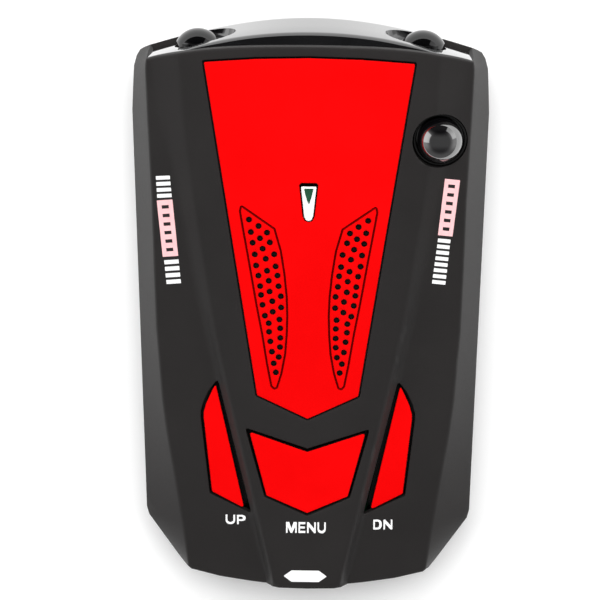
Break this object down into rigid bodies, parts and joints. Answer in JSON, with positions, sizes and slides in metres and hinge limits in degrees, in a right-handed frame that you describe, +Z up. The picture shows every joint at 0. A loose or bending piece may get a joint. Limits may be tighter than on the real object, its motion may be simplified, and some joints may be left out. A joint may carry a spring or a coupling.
{
  "type": "radar detector",
  "caption": "Dashboard radar detector: tapered two-shell black housing with raised spine, red grille panel, push keys, round roof lens and glossy front visor with laser lenses.",
  "frame": {"origin": "centre of the bounding box in plan, on the surface that the non-slip pad rests on", "axes": "+Z up; +Y towards the windscreen end, where the glossy visor and its two lenses are; the display faces -Y, towards the driver; +X is the side with the power inlet, the slide switch and the roof lens"},
  "size_m": [0.0688, 0.113, 0.0314],
  "materials": {
    "soft_touch_black": "soft-touch matte black, fine grain",
    "red_plastic": "satin bright red",
    "clear_plastic": "clear, glossy",
    "gloss_black": "high gloss black",
    "smoked_lens": "very dark smoked, glossy",
    "ring_black": "satin black",
    "display_smoke": "dark smoked, glossy",
    "black_component": "moulded black component",
    "circuit_board": "green solder mask",
    "pad_rubber": "fine ribbed rubber",
    "ivory_plastic": "matte ivory",
    "cast_metal": "as cast",
    "tin_plate": "tin plated",
    "led_diffuser": "milky",
    "speaker_plastic": "matte",
    "magnet_ferrite": "sintered dark grey",
    "speaker_paper": "pressed paper, matte",
    "wire_red": "insulated wire",
    "wire_black": "insulated wire",
    "capacitor_can": "satin sleeve",
    "screw_steel": "zinc plated"
  },
  "bodies": {
    "housing": {"top_shell": "soft_touch_black", "bottom_shell": "soft_touch_black", "grille_panel": "red_plastic", "indicator_window": "clear_plastic", "front_visor": "gloss_black", "front_lens_left": "smoked_lens", "front_lens_right": "smoked_lens", "roof_lens": "smoked_lens", "roof_lens_ring": "ring_black", "display_window": "display_smoke", "led_display": "black_component", "display_board": "circuit_board", "non_slip_pad": "pad_rubber", "up_switch_housing": "black_component", "menu_switch_housing": "black_component", "down_switch_housing": "black_component", "main_board": "circuit_board", "horn_antenna": "cast_metal", "microwave_board": "circuit_board", "shield_can": "tin_plate", "sensor_board": "circuit_board", "indicator_led": "led_diffuser", "laser_sensor_left": "black_component", "laser_sensor_right": "black_component", "laser_sensor_roof": "black_component", "speaker_frame": "speaker_plastic", "speaker_magnet": "magnet_ferrite", "speaker_cone": "speaker_paper", "speaker_wire_red": "wire_red", "speaker_wire_black": "wire_black", "power_inlet": "black_component", "power_switch_housing": "tin_plate", "processor_chip": "black_component", "amplifier_chip": "black_component", "filter_capacitor": "capacitor_can", "choke_coil": "magnet_ferrite", "case_screw_front_right": "screw_steel", "case_screw_front_left": "screw_steel", "case_screw_rear_right": "screw_steel", "case_screw_rear_left": "screw_steel", "board_screw_rear": "screw_steel", "board_screw_left": "screw_steel", "board_screw_right": "screw_steel"},
    "up_key": {"up_button": "red_plastic", "up_switch_plunger": "ivory_plastic"},
    "menu_key": {"menu_button": "red_plastic", "menu_switch_plunger": "ivory_plastic"},
    "down_key": {"down_button": "red_plastic", "down_switch_plunger": "ivory_plastic"},
    "power_slider": {"power_switch_knob": "black_component"}
  },
  "joints": [
    {"name": "up_press", "type": "slide", "parent": "housing", "child": "up_key", "axis": [0, 0, -1], "range_m": [0, 0.0005], "stiffness_N_per_m": 1500, "springref_m": -0.0002},
    {"name": "menu_press", "type": "slide", "parent": "housing", "child": "menu_key", "axis": [0, 0, -1], "range_m": [0, 0.0005], "stiffness_N_per_m": 1500, "springref_m": -0.0002},
    {"name": "down_press", "type": "slide", "parent": "housing", "child": "down_key", "axis": [0, 0, -1], "range_m": [0, 0.0005], "stiffness_N_per_m": 1500, "springref_m": -0.0002},
    {"name": "power_switch_slide", "type": "slide", "parent": "housing", "child": "power_slider", "axis": [0, 1, 0], "range_m": [0, 0.002]}
  ]
}
